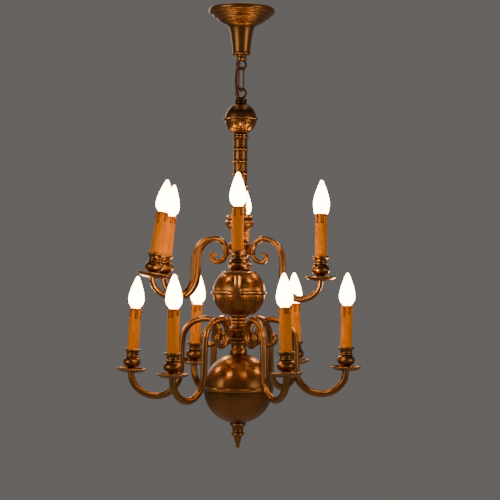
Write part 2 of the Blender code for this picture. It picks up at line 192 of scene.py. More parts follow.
@dataclass(frozen=True)
class AgedBrass(Finish):
    """Burnished cast and spun brass that has toned to brown.

    Rubbed edges stay bright, hollows keep a dark patina, and the tone drifts in soft clouds.
    """

    patina: str = "#221108"
    rubbed: str = "#D69A5C"
    cloud_mm: float = 60.0
    grain_mm: float = 2.2
    tarnish: float = 0.3
    specked: float = 0.08

    def draw(self, tree: bpy.types.NodeTree, shader: bpy.types.Node) -> None:
        """Mix tone, patina and rubbed edges, and vary the gloss with them.

        Args:
            tree: The material\'s nodes.
            shader: Its Principled shader.
        """
        place = add_node(tree, "ShaderNodeTexCoord").outputs["Object"]
        cloud = add_node(tree, "ShaderNodeTexNoise", Vector=place, Scale=1000 / self.cloud_mm,
                         Detail=2.5, Roughness=0.5, Distortion=0.4)
        grain = add_node(tree, "ShaderNodeTexNoise", Vector=place, Scale=1000 / self.grain_mm,
                         Detail=3.0, Roughness=0.6)
        spots = add_node(tree, "ShaderNodeTexNoise", Vector=place, Scale=1000 / (4 * self.grain_mm),
                         Detail=5.0, Roughness=0.7)
        hollow = add_node(tree, "ShaderNodeAttribute", {"attribute_name": "hollow"})
        proud = add_node(tree, "ShaderNodeAttribute", {"attribute_name": "proud"})
        toned = add_node(tree, "ShaderNodeMapRange", s0=cloud.outputs["Fac"], s1=0.38, s2=0.72,
                         s3=0.0, s4=self.tarnish)
        specks = add_node(tree, "ShaderNodeMapRange", s0=spots.outputs["Fac"], s1=0.60, s2=0.75,
                          s3=0.0, s4=self.specked)
        dirt = add_node(tree, "ShaderNodeMath", {"operation": "MULTIPLY_ADD", "use_clamp": True},
                        s0=hollow.outputs["Fac"], s1=0.85, s2=toned.outputs[0])
        dark = add_node(tree, "ShaderNodeMath", {"operation": "ADD", "use_clamp": True},
                        s0=dirt.outputs[0], s1=specks.outputs[0])
        worn = add_node(tree, "ShaderNodeMath", {"operation": "MULTIPLY", "use_clamp": True},
                        s0=proud.outputs["Fac"], s1=0.75)
        base = add_node(tree, "ShaderNodeMix", {"data_type": "RGBA"}, s0=dark.outputs[0],
                        s6=linear(self.colour), s7=linear(self.patina))
        tone = add_node(tree, "ShaderNodeMix", {"data_type": "RGBA"}, s0=worn.outputs[0],
                        s6=base.outputs[2], s7=linear(self.rubbed))
        tree.links.new(tone.outputs[2], shader.inputs["Base Color"])
        fine = add_node(tree, "ShaderNodeMapRange", s0=grain.outputs["Fac"], s1=0.3, s2=0.7,
                        s3=self.roughness - 0.06, s4=self.roughness + 0.07)
        gloss = add_node(tree, "ShaderNodeMath", {"operation": "MULTIPLY_ADD"},
                         s0=dark.outputs[0], s1=0.22, s2=fine.outputs[0])
        tree.links.new(gloss.outputs[0], shader.inputs["Roughness"])
        bump = add_node(tree, "ShaderNodeBump", Height=grain.outputs["Fac"], Strength=0.05,
                        Distance=0.0004)
        tree.links.new(bump.outputs[0], shader.inputs["Normal"])


@dataclass(frozen=True)
class AmberSleeve(Finish):
    """A moulded candle sleeve of amber resin with darker wax runs.

    An emission in the resin's own colour paints a glow, in place of the light that neighbouring bulbs send
    through it, and the brown runs are outlined where the colour has pooled.
    """

    run: str = "#3A1503"
    streak: str = "#C65A06"
    fibre_mm: float = 3.846
    # strength of the painted glow: the resin emits its own colour, though it is no lamp
    glow: float = 0.17

    def draw(self, tree: bpy.types.NodeTree, shader: bpy.types.Node) -> None:
        """Streak the resin along its length, darken the edge of each run and paint a glow in its own colour.

        Args:
            tree: The material\'s nodes.
            shader: Its Principled shader.
        """
        place = add_node(tree, "ShaderNodeTexCoord").outputs["Object"]
        along = add_node(tree, "ShaderNodeMapping", Vector=place, Scale=(1.0, 1.0, 0.12))
        fibre = add_node(tree, "ShaderNodeTexNoise", Vector=along.outputs[0],
                         Scale=1000 / self.fibre_mm, Detail=4.0, Roughness=0.6)
        pooled = add_node(tree, "ShaderNodeAttribute", {"attribute_name": "pooled"})
        streaks = add_node(tree, "ShaderNodeMapRange", s0=fibre.outputs["Fac"], s1=0.35, s2=0.75,
                           s3=0.0, s4=0.6)
        base = add_node(tree, "ShaderNodeMix", {"data_type": "RGBA"}, s0=streaks.outputs[0],
                        s6=linear(self.colour), s7=linear(self.streak))
        tone = add_node(tree, "ShaderNodeMix", {"data_type": "RGBA"}, s0=pooled.outputs["Fac"],
                        s6=base.outputs[2], s7=linear(self.run))
        tree.links.new(tone.outputs[2], shader.inputs["Base Color"])
        # Painted glow: the resin emits its own colour in place of the bulbs' light shining through it.
        tree.links.new(tone.outputs[2], shader.inputs["Emission Color"])
        shader.inputs["Emission Strength"].default_value = self.glow
        gloss = add_node(tree, "ShaderNodeMapRange", s0=fibre.outputs["Fac"], s1=0.3, s2=0.7,
                         s3=self.roughness - 0.06, s4=self.roughness + 0.10)
        tree.links.new(gloss.outputs[0], shader.inputs["Roughness"])
        bump = add_node(tree, "ShaderNodeBump", Height=fibre.outputs["Fac"], Strength=0.12,
                        Distance=0.0003)
        tree.links.new(bump.outputs[0], shader.inputs["Normal"])


@dataclass(frozen=True)
class LitOpalGlass(Finish):
    """Frosted glass, lit from inside: white in its middle and warmer towards neck and tip.

    Etched frost is finer than its grain here, which is drawn coarser so that it shows.
    """

    frost_mm: float = 0.714
    glow: str = "#FFD9A0"
    warm: str = "#FF9A3C"
    strength: float = 26.0

    def draw(self, tree: bpy.types.NodeTree, shader: bpy.types.Node) -> None:
        """Let the glow fade to amber where the glass is far from the filament.

        Args:
            tree: The material\'s nodes.
            shader: Its Principled shader.
        """
        far = add_node(tree, "ShaderNodeAttribute", {"attribute_name": "far"})
        tone = add_node(tree, "ShaderNodeMix", {"data_type": "RGBA"}, s0=far.outputs["Fac"],
                        s6=linear(self.glow), s7=linear(self.warm))
        tree.links.new(tone.outputs[2], shader.inputs["Emission Color"])
        shader.inputs["Emission Strength"].default_value = self.strength
        place = add_node(tree, "ShaderNodeTexCoord").outputs["Object"]
        frost = add_node(tree, "ShaderNodeTexNoise", Vector=place, Scale=1000 / self.frost_mm, Detail=2.0)
        bump = add_node(tree, "ShaderNodeBump", Height=frost.outputs["Fac"], Strength=0.1,
                        Distance=0.0001)
        tree.links.new(bump.outputs[0], shader.inputs["Normal"])


@dataclass(frozen=True)
class Grained(Finish):
    """A smooth finish with a fine grain: plastic, plated steel or paint."""

    second: str = "#808080"
    grain_mm: float = 1.0
    share: float = 0.4
    depth: float = 0.1

    def draw(self, tree: bpy.types.NodeTree, shader: bpy.types.Node) -> None:
        """Drift between two tones, and roughen the surface by the same grain.

        Args:
            tree: The material\'s nodes.
            shader: Its Principled shader.
        """
        place = add_node(tree, "ShaderNodeTexCoord").outputs["Object"]
        grain = add_node(tree, "ShaderNodeTexNoise", Vector=place, Scale=1000 / self.grain_mm,
                         Detail=3.0, Roughness=0.6)
        amount = add_node(tree, "ShaderNodeMapRange", s0=grain.outputs["Fac"], s1=0.35, s2=0.7,
                          s3=0.0, s4=self.share)
        tone = add_node(tree, "ShaderNodeMix", {"data_type": "RGBA"}, s0=amount.outputs[0],
                        s6=linear(self.colour), s7=linear(self.second))
        tree.links.new(tone.outputs[2], shader.inputs["Base Color"])
        gloss = add_node(tree, "ShaderNodeMapRange", s0=grain.outputs["Fac"], s1=0.3, s2=0.7,
                         s3=self.roughness - 0.05, s4=self.roughness + 0.07)
        tree.links.new(gloss.outputs[0], shader.inputs["Roughness"])
        bump = add_node(tree, "ShaderNodeBump", Height=grain.outputs["Fac"], Strength=self.depth,
                        Distance=0.0002)
        tree.links.new(bump.outputs[0], shader.inputs["Normal"])


@dataclass(frozen=True)
class Finishes:
    """Every finish on the chandelier, made once."""

    brass: bpy.types.Material
    dark_brass: bpy.types.Material
    sleeve: bpy.types.Material
    glass: bpy.types.Material
    holder: bpy.types.Material
    nickel: bpy.types.Material
    zinc: bpy.types.Material
    block: bpy.types.Material
    flex: bpy.types.Material

    @classmethod
    def mixed(cls) -> Finishes:
        """Make the whole set.

        Returns:
            The finishes, by the names that the pieces use.
        """
        return cls(
            # Spun and turned brass, buffed and lacquered, gone from yellow to a warm brown.
            brass=AgedBrass("aged_brass", "#A26A38", 0.29, 1.0).make(),
            # The same brass left unbuffed: duller, and dark brown but for its worn edges.
            dark_brass=AgedBrass("dark_brass", "#58361C", 0.34, 1.0, patina="#180E09",
                                 rubbed="#A06C3A", tarnish=0.6, specked=0.3,
                                 cloud_mm=9.0).make(),
            # Moulded resin in imitation of old wax, satin and deep amber.
            sleeve=AmberSleeve("amber_resin", "#F58A0A", 0.42,
                               sockets=(("Specular IOR Level", 0.15),)).make(),
            # Blown glass frosted inside, so that it glows all over.
            glass=LitOpalGlass("frosted_glass", "#FFF3E0", 0.35, sockets=(("IOR", 1.52),)).make(),
            # Moulded polyester, cream and nearly matt.
            holder=Grained("holder_polyester", "#E9DFC9", 0.45, second="#D2C4A6", grain_mm=3.0).make(),
            # Rolled brass under nickel plate, bright with a faint grain.
            nickel=Grained("nickel_plate", "#B9B2A4", 0.24, 1.0, second="#8E877A", grain_mm=0.8).make(),
            # Steel under zinc plate, grey with a soft cloudy sheen.
            zinc=Grained("zinc_plate", "#B4B6B4", 0.38, 1.0, second="#8D9088", grain_mm=6.0).make(),
            # Moulded polyamide, off white and matt.
            block=Grained("block_polyamide", "#E6E4DC", 0.5, second="#D3D0C4", grain_mm=1.2).make(),
            # Extruded plastic sheath, red brown with a low gloss.
            flex=Grained("flex_sheath", "#6A2816", 0.34, second="#4A1A0F", grain_mm=5.0).make(),
        )


# ---------------------------------------------------------------- shapes


def filleted(corners: Sequence[Corner], steps: int = 4) -> list[Point]:
    """Round the corners of an outline.

    Args:
        corners: (radius, height, fillet) in millimetres. A fillet is how far from the corner
            the round starts, and is held under half of the shorter side.
        steps: Spans in each round.

    Returns:
        The outline's points, in millimetres.
    """
    points: list[Point] = []
    for index, (radius, height, fillet) in enumerate(corners):
        here = Vector((radius, height))
        if fillet <= 0 or index in (0, len(corners) - 1):
            points.append((radius, height))
            continue
        back = Vector(corners[index - 1][:2]) - here
        on = Vector(corners[index + 1][:2]) - here
        reach = min(fillet, 0.48 * back.length, 0.48 * on.length)
        start, end = here + back.normalized() * reach, here + on.normalized() * reach
        for step in range(steps + 1):
            t = step / steps
            point = start * (1 - t) ** 2 + here * (2 * t * (1 - t)) + end * t**2
            points.append((point.x, point.y))
    return points


def divided(outline: Sequence[Point], longest: float = 4.0) -> list[Point]:
    """Split an outline's long spans, so that what is marked at a corner stays near it.

    Args:
        outline: Points in millimetres.
        longest: The longest span that stays whole.

    Returns:
        The outline with the points added.
    """
    points = [outline[0]]
    for start, end in zip(outline, outline[1:]):
        parts = max(1, math.ceil(math.dist(start, end) / longest))
        for part in range(1, parts + 1):
            share = part / parts
            points.append((start[0] + (end[0] - start[0]) * share, start[1] + (end[1] - start[1]) * share))
    return points


def mark_relief(shape: bmesh.types.BMesh, full_bend: float = 220.0, passes: int = 2) -> None:
    """Store how hollow and how proud each point is, for the brass finish to tone.

    Args:
        shape: The finished shape, in metres.
        full_bend: The bend, per metre, that counts as fully hollow or proud.
        passes: How many times the marks are spread to their neighbours.
    """
    hollow = shape.verts.layers.float.new("hollow")
    proud = shape.verts.layers.float.new("proud")
    shape.normal_update()
    shape.verts.index_update()
    bends = []
    for vert in shape.verts:
        total = 0.0
        for edge in vert.link_edges:
            away = edge.other_vert(vert).co - vert.co
            total += away.dot(vert.normal) / max(away.length_squared, 1e-12)
        bends.append(total / max(len(vert.link_edges), 1) / full_bend)
    for _ in range(passes):
        bends = [
            0.5 * bends[vert.index]
            + 0.5 * sum(bends[edge.other_vert(vert).index] for edge in vert.link_edges)
            / max(len(vert.link_edges), 1)
            for vert in shape.verts
        ]
    for vert in shape.verts:
        vert[hollow] = min(1.0, max(0.0, bends[vert.index]))
        vert[proud] = min(1.0, max(0.0, -bends[vert.index]))


def spun(outline: Sequence[Point], sides: int, closed: bool = False) -> bmesh.types.BMesh:
    """Spin an outline about the upright axis.

    Args:
        outline: Points in millimetres. An open one starts and ends on the axis.
        sides: How many steps go round.
        closed: Whether the outline is a loop, as for a bored piece.

    Returns:
        The shape, in metres, with its faces pointing out.
    """
    shape = bmesh.new()
    verts = [shape.verts.new((radius * MM, 0.0, height * MM)) for radius, height in outline]
    pairs = list(zip(verts, verts[1:]))
    if closed:
        pairs.append((verts[-1], verts[0]))
    edges = [shape.edges.new(pair) for pair in pairs]
    bmesh.ops.spin(shape, geom=verts + edges, axis=(0, 0, 1), cent=(0, 0, 0), steps=sides,
                   angle=math.tau, use_merge=True)
    bmesh.ops.remove_doubles(shape, verts=shape.verts, dist=1e-6)
    bmesh.ops.recalc_face_normals(shape, faces=shape.faces)
    return shape


def swept(stations: Sequence[Matrix], sides: int, flute: Callable[[float], float] | None = None,
          loop: bool = False) -> bmesh.types.BMesh:
    """Carry a round section along stations by extruding it from each to the next.

    Args:
        stations: A matrix for each place: its Z is along the rod, and its scale the radius.
        sides: How many points the section has.
        flute: The section's radius, as a share, by its angle. None is plain round.
        loop: Whether the last station meets the first.

    Returns:
        The shape, with its faces pointing out.
    """
    shape = bmesh.new()
    bmesh.ops.create_circle(shape, cap_ends=not loop, radius=1.0, segments=sides)
    if flute:
        for vert in shape.verts:
            vert.co *= flute(math.atan2(vert.co.y, vert.co.x))
    bmesh.ops.transform(shape, matrix=stations[0], verts=shape.verts)
    ring = list(shape.edges)
    for before, after in zip(stations, stations[1:]):
        grown = bmesh.ops.extrude_edge_only(shape, edges=ring)["geom"]
        fresh = {item for item in grown if isinstance(item, bmesh.types.BMVert)}
        ring = [item for item in grown
                if isinstance(item, bmesh.types.BMEdge) and all(v in fresh for v in item.verts)]
        bmesh.ops.transform(shape, matrix=after @ before.inverted(), verts=list(fresh))
    if loop:
        bmesh.ops.remove_doubles(shape, verts=shape.verts, dist=2e-5)
    else:
        bmesh.ops.contextual_create(shape, geom=ring)
    bmesh.ops.recalc_face_normals(shape, faces=shape.faces)
    return shape


def stations_along(points: Sequence[Vector], radii: Sequence[float], side: Vector,
                   loop: bool = False) -> list[Matrix]:
    """Stand a section square to a line at each of its points.

    Args:
        points: The line, in metres.
        radii: The section's radius at each point, in metres.
        side: A direction that lies across the line all the way.
        loop: Whether the line is closed, with its last point on its first.

    Returns:
        One matrix for each point.
    """
    made = []
    last = len(points) - 1
    for index, (point, radius) in enumerate(zip(points, radii)):
        before = points[last - 1 if loop and index == 0 else max(index - 1, 0)]
        after = points[1 if loop and index == last else min(index + 1, last)]
        along = (after - before).normalized()
        across = along.cross(side).normalized()
        other = along.cross(across)
        square = Matrix((across, other, along)).transposed().to_4x4()
        made.append(Matrix.Translation(point) @ square @ Matrix.Diagonal((radius, radius, radius, 1.0)))
    return made


def hung(name: str, data: bpy.types.ID) -> bpy.types.Object:
    """Make an object at the origin and link it to the scene.

    Args:
        name: The object's name.
        data: Its mesh, lamp or camera.

    Returns:
        The new object.
    """
    made = bpy.data.objects.new(name, data)
    bpy.context.scene.collection.objects.link(made)
    return made


def shade(mesh: bpy.types.Mesh, sharp: float) -> None:
    """Shade a mesh smooth, but for the edges that bend by more than so many degrees."""
    mesh.shade_smooth()
    mesh.set_sharp_from_angle(angle=math.radians(sharp))


def mesh_object(name: str, shape: bmesh.types.BMesh, finish: bpy.types.Material | None = None,
                sharp: float = SHARP_EDGE) -> bpy.types.Object:
    """Turn a shape into an object of the same name.

    Args:
        name: The object's and the mesh's name.
        shape: The shape, which is freed.
        finish: Its material. None is for a cutter.
        sharp: The angle, in degrees, past which an edge stays sharp.

    Returns:
        The new object.
    """
    mesh = bpy.data.meshes.new(name)
    shape.to_mesh(mesh)
    shape.free()
    shade(mesh, sharp)
    if finish:
        mesh.materials.append(finish)
    return hung(name, mesh)


def piece(name: str, shape: bmesh.types.BMesh, finish: bpy.types.Material, body: str,
          nodes: Sequence[str] = (), place: Matrix | None = None, sharp: float = SHARP_EDGE,
          relief: bool = True) -> bpy.types.Object:
    """Turn a shape into a named piece that rides on a body.

    Args:
        name: The piece's name.
        shape: The shape, which is freed.
        finish: Its material.
        body: The CAD body that it rides on.
        nodes: The CAD nodes that it stands for.
        place: Where the shape goes. None leaves it where it is.
        sharp: The angle, in degrees, past which an edge stays sharp.
        relief: Whether hollows and edges are marked for the finish.

    Returns:
        The new object, at the origin, with its place in its mesh.
    """
    if relief:
        mark_relief(shape)
    if place is not None:
        bmesh.ops.transform(shape, matrix=place, verts=shape.verts)
    made = mesh_object(name, shape, finish, sharp)
    if nodes:
        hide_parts(*nodes)
    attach(made, body)
    LOG.info("%s: %d faces on %s", name, len(made.data.polygons), body)
    return made


def circle_line(centre: Point, radius: float, start: float, end: float, steps: int) -> list[Point]:
    """Points along part of a circle.

    Args:
        centre: The circle's middle.
        radius: Its radius, in the same unit.
        start: The first angle, in degrees.
        end: The last angle.
        steps: Spans between them.

    Returns:
        The points, both ends included.
    """
    line = []
    for step in range(steps + 1):
        angle = math.radians(start + (end - start) * step / steps)
        line.append((centre[0] + radius * math.cos(angle), centre[1] + radius * math.sin(angle)))
    return line


def soft_line(points: Sequence[Vector], spans: int) -> list[Vector]:
    """Draw a Catmull-Rom curve through points.

    Args:
        points: The points that it passes.
        spans: Spans between each two.

    Returns:
        The curve's points, both ends included.
    """
    padded = [points[0], *points, points[-1]]
    line = []
    for a, b, c, d in zip(padded, padded[1:], padded[2:], padded[3:]):
        for step in range(spans):
            t = step / spans
            line.append(0.5 * (2 * b + (c - a) * t + (2 * a - 5 * b + 4 * c - d) * t**2
                               + (3 * b - a - 3 * c + d) * t**3))
    return [*line, points[-1].copy()]


# ---------------------------------------------------------------- the turned column


@dataclass(frozen=True)
class Turning:
    """One turned piece: its outline counts down from the top of the CAD node it stands for.

    Its foot is how far down the bore's wall ends, where that isn't at the outline's last point.
    """

    node: str
    corners: tuple[Corner, ...]
    body: str = CHANDELIER
    sides: int = 72
    bore: float = ROD_BORE
    foot: float | None = None

    def build(self, finish: bpy.types.Material) -> None:
        """Spin the outline and set it in place, with the rod's bore down it where it has one.

        Args:
            finish: Its material.
        """
        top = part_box(self.node)[1].z
        outline = divided(filleted(self.corners))
        if self.bore:
            foot = outline[-1][1] if self.foot is None else self.foot
            outline += [(self.bore, foot), (self.bore, outline[0][1])]
        shape = spun(outline, self.sides, closed=bool(self.bore))
        piece(self.node + "_turned", shape, finish, self.body, [self.node],
              Matrix.Translation((0, 0, top)))


CANOPY_OUTLINE: tuple[Corner, ...] = (
    (64.6, 0.0, 0.3), (65.8, -1.0, 0.8), (66.4, -5.5, 3.0), (64.6, -9.4, 1.6), (58.8, -11.6, 1.2),
    (56.4, -12.2, 0.5), (56.2, -13.8, 0.6), (57.2, -15.0, 0.8), (54.6, -17.4, 1.6), (49.8, -18.2, 0.6),
    (48.6, -19.2, 0.4), (49.0, -21.0, 0.9), (46.4, -23.2, 1.2), (42.8, -24.0, 0.7), (40.8, -26.0, 2.0),
    (31.4, -30.6, 3.5), (25.4, -36.4, 4.5), (21.6, -52.0, 12.0), (18.9, -73.0, 9.0), (17.6, -86.4, 1.5),
    (17.5, -88.0, 0.3), (18.7, -88.7, 0.5), (18.9, -90.6, 0.8), (17.9, -92.0, 0.5), (5.4, -92.0, 0.0),
    (5.4, -90.8, 0.0), (15.9, -90.8, 0.4), (16.4, -86.0, 1.0), (17.7, -73.0, 6.0), (20.4, -52.0, 10.0),
    (24.2, -37.0, 4.0), (30.6, -31.8, 3.0), (40.2, -27.2, 2.0), (44.0, -24.6, 1.0), (47.4, -20.4, 1.0),
    (54.0, -16.2, 1.0), (57.4, -12.9, 1.0), (63.6, -8.6, 1.5), (65.2, -5.0, 2.0), (64.8, -1.4, 0.4),
)
TURNINGS: tuple[Turning, ...] = (
    Turning("canopy_neck", (
        (9.2, 0, 0.3), (10.4, -1.0, 0.8), (10.4, -2.6, 0.8), (8.8, -3.6, 0.6), (8.8, -5.7, 0)),
        body=FITTING, sides=56),
    Turning("knob", (
        (13.2, 0, 0.0), (14.8, -0.8, 0.6), (19.0, -2.2, 1.2), (24.6, -2.8, 0.8), (26.6, -4.2, 1.0),
        (26.6, -8.6, 1.2), (25.0, -10.4, 0.7), (23.4, -11.0, 0.4), (23.4, -12.2, 0.5), (27.4, -13.4, 1.4),
        (29.2, -16.4, 2.4), (27.4, -23.4, 6.0), (20.6, -32.4, 6.0), (11.0, -38.4, 2.0), (10.2, -40.4, 0.8),
        (14.2, -41.4, 1.2), (15.2, -43.6, 1.4), (14.0, -45.8, 1.0), (10.6, -46.4, 0.0)), sides=80),
    Turning("upper_neck", (
        (15.8, 0, 0.0), (16.8, -1.0, 0.5), (16.8, -2.8, 0.6), (18.6, -4.4, 1.0), (22.6, -5.4, 0.6),
        (24.0, -7.0, 1.0), (24.0, -9.0, 1.0), (22.4, -10.6, 0.8), (18.8, -11.6, 0.8), (18.8, -13.0, 0.7),
        (21.2, -14.4, 0.9), (22.2, -17.2, 1.6), (21.0, -19.8, 1.0), (17.4, -21.0, 0.8), (16.8, -23.0, 0.0))),
    Turning("middle_neck", (
        (16.4, 0, 0.0), (19.4, -0.6, 0.6), (20.4, -2.2, 1.1), (19.4, -4.0, 0.8), (16.4, -4.9, 0.6),
        (15.9, -6.2, 0.5), (17.2, -7.2, 0.6), (18.0, -9.4, 1.4), (17.0, -11.4, 0.8), (14.4, -12.4, 0.6),
        (13.9, -13.6, 0.4), (14.8, -14.4, 0.5), (15.4, -16.4, 1.2), (14.6, -18.2, 0.6), (12.8, -19.0, 0.4),
        (12.6, -20.2, 0.4), (13.6, -20.8, 0.4), (14.0, -22.2, 0.8), (13.4, -23.7, 0.0))),
    Turning("lower_neck", (
        (16.2, 0, 0.0), (17.2, -0.6, 0.4), (17.2, -2.8, 0.8), (15.2, -5.2, 1.6), (14.7, -9.0, 3.0),
        (14.9, -14.2, 2.0), (16.8, -17.4, 1.4), (17.6, -19.2, 0.8), (17.6, -24.6, 0.8), (16.6, -26.0, 0.0)),
        foot=-24.2),
    Turning("finial", (
        (14.6, 0, 0.0), (16.1, -0.9, 0.8), (16.3, -3.4, 1.2), (15.2, -5.6, 0.9), (12.2, -7.6, 1.6),
        (10.8, -11.6, 3.0), (10.7, -17.8, 1.6), (12.4, -19.4, 0.9), (13.2, -21.8, 1.4), (12.2, -24.4, 0.9),
        (8.8, -26.4, 1.6), (6.6, -32.6, 5.0), (4.6, -41.6, 3.0), (3.4, -44.6, 0.8), (3.2, -45.6, 0.4),
        (4.4, -47.0, 0.8), (4.0, -49.2, 1.0), (2.0, -50.6, 0.8), (0.0, -50.8, 0.0)), sides=64, bore=0),
)


@dataclass
class Column:
    """The turned pieces from the lower loop down, which the tie rod holds together."""

    ring_count: int = 7
    ring_pitch: float = 24.5
    first_ring: float = -5.9
    tube: float = 13.8
    ring: float = 15.7
    first_ring_extra: float = 0.8
    band_half: float = 2.0
    stub: float = 4.6
    stub_start: float = 16.0
    stub_flange: float = 1.2
    ball_wall: float = 1.2
    balls: dict[str, float] = field(default_factory=lambda: {
        "small_ball": 31.8, "middle_ball": 52.3, "big_ball": 69.4})
    hubs: dict[Tier, tuple[Corner, ...]] = field(default_factory=lambda: {
        Tier.UPPER: (
            (10.6, 0, 0.0), (11.2, -2.0, 0.8), (12.0, -4.4, 1.6), (17.0, -9.4, 3.0), (20.6, -11.8, 1.0),
            (21.8, -13.2, 0.8), (21.8, -15.6, 0.6), (20.9, -16.4, 0.4), (20.9, -30.6, 0.4),
            (21.8, -31.4, 0.5), (21.8, -33.6, 0.8), (19.6, -36.4, 1.6), (16.4, -40.0, 1.6),
            (15.8, -44.7, 0.0)),
        Tier.LOWER: (
            (14.4, 0, 0.0), (16.0, -0.8, 0.6), (21.6, -2.8, 1.2), (24.2, -5.6, 1.2), (24.2, -7.6, 0.5),
            (23.4, -8.4, 0.4), (23.4, -21.6, 0.4), (24.2, -22.4, 0.5), (24.2, -24.4, 0.8), (21.8, -27.2, 1.2),
            (16.6, -29.3, 0.0))})

    def build(self, finishes: Finishes) -> None:
        """Make every turned piece on the column.

        Args:
            finishes: The chandelier\'s materials.
        """
        for turning in TURNINGS:
            turning.build(finishes.brass)
        self.ringed_tube(finishes)
        for name, radius in self.balls.items():
            for half in Half:
                self.ball_half(name, radius, half, finishes)
        for tier, corners in self.hubs.items():
            self.hub(tier, corners, finishes)
        low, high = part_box("tie_rod")
        end = (low.z - high.z) / MM
        rod = filleted(((0, 0, 0), (5, 0, 0.3), (5, end, 0.3), (0, end, 0)))
        piece("tie_rod_bar", spun(rod, 32), finishes.zinc, CHANDELIER, ["tie_rod"],
              Matrix.Translation((0, 0, high.z)))

    def ringed_tube(self, finishes: Finishes) -> None:
        """Spin the slim tube with its collar and its evenly spaced bands.

        Args:
            finishes: The chandelier\'s materials.
        """
        low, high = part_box("column")
        corners: list[Corner] = [(11.0, 0, 0.0), (14.6, -0.5, 0.4), (14.9, -1.6, 0.4), (14.4, -2.8, 0.4)]
        for index in range(self.ring_count):
            middle = self.first_ring - index * self.ring_pitch
            proud = self.ring + (self.first_ring_extra if index == 0 else 0.0)
            corners += [(self.tube, middle + self.band_half, 0.3), (proud - 0.5, middle + 1.5, 0.5),
                        (proud, middle, 0.9), (proud - 0.5, middle - 1.5, 0.5),
                        (self.tube, middle - self.band_half, 0.3)]
        corners.append((self.tube, (low.z - high.z) / MM, 0.0))
        Turning("column", tuple(corners)).build(finishes.brass)

    def ball_half(self, name: str, radius: float, half: Half, finishes: Finishes) -> None:
        """Spin one half of a hollow ball, with its share of the bead where the halves meet.

        Args:
            name: The ball's name, which its two CAD nodes start with.
            radius: The ball's radius, in millimetres.
            half: Which half to make.
            finishes: The chandelier's materials.
        """
        node = f"{name}_{half.name.lower()}"
        low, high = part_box(node)
        seam, cut = (low.z, high.z) if half is Half.TOP else (high.z, low.z)
        bead = (high.x - low.x) / 2 / MM
        rise = min(abs(cut - seam) / MM, radius * 0.995)
        lip = 0.055 * radius + 0.4
        inner = radius - self.ball_wall
        start = math.degrees(math.asin(rise / radius))
        foot = math.degrees(math.asin(lip / radius))
        crown = circle_line((0, 0), radius, start, foot, 30)
        rim = filleted(((crown[-1][0], lip, 0), (radius, lip * 0.92, 0.3), (bead - 0.9, lip * 0.62, 0.9),
                        (bead, 0.5, 0.5), (bead - 0.1, 0.0, 0.0)), 4)[1:]
        hollow_end = math.degrees(math.asin(min((rise - self.ball_wall) / inner, 0.99)))
        inside = circle_line((0, 0), inner, 0, hollow_end, 14)
        outline = [(ROD_BORE, rise)] + crown + rim + inside + [(ROD_BORE, rise - self.ball_wall)]
        outline = [(max(r, ROD_BORE), z * half.value) for r, z in outline]
        piece(node + "_shell", spun(outline, 112, closed=True), finishes.brass, CHANDELIER,
              [node], Matrix.Translation((0, 0, seam)))

    def hub(self, tier: Tier, corners: tuple[Corner, ...], finishes: Finishes) -> None:
        """Turn a hub, and set a short flanged stub on it for each arm.

        Args:
            tier: The ring of arms that it carries.
            corners: Its outline, down from the top of its CAD node.
            finishes: The chandelier's materials.
        """
        node = f"{tier.value}_hub"
        low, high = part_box(node)
        outline = filleted(corners)
        outline += [(ROD_BORE, outline[-1][1]), (ROD_BORE, outline[0][1])]
        shape = spun(outline, 80, closed=True)
        piece(node + "_turned", shape, finishes.brass, CHANDELIER, [node],
              Matrix.Translation((0, 0, high.z)))
        reach = max(-low.x, high.x, -low.y, high.y) / MM
        arm_shape = ARM_SHAPES[tier]
        end = min(reach + 0.6, arm_shape.hub_side() - arm_shape.rod * 0.8)
        flange = self.stub + self.stub_flange
        corners = ((0, self.stub_start, 0), (self.stub, self.stub_start, 0), (self.stub, end - 4, 0.2),
                   (flange, end - 3.4, 0.4), (flange, end, 0.3), (0, end, 0))
        for place in range(1, ARMS_PER_TIER + 1):
            out = light_axes(tier, place)[1]
            turn = (Matrix.Translation((0, 0, arm_shape.stub_height * MM))
                    @ Matrix.Rotation(math.atan2(out.y, out.x), 4, "Z")
                    @ Matrix.Rotation(math.radians(90), 4, "Y"))
            piece(f"{node}_stub_{place}", spun(filleted(corners), 24), finishes.brass, CHANDELIER,
                  place=turn)


# ---------------------------------------------------------------- ceiling fitting, link and flex


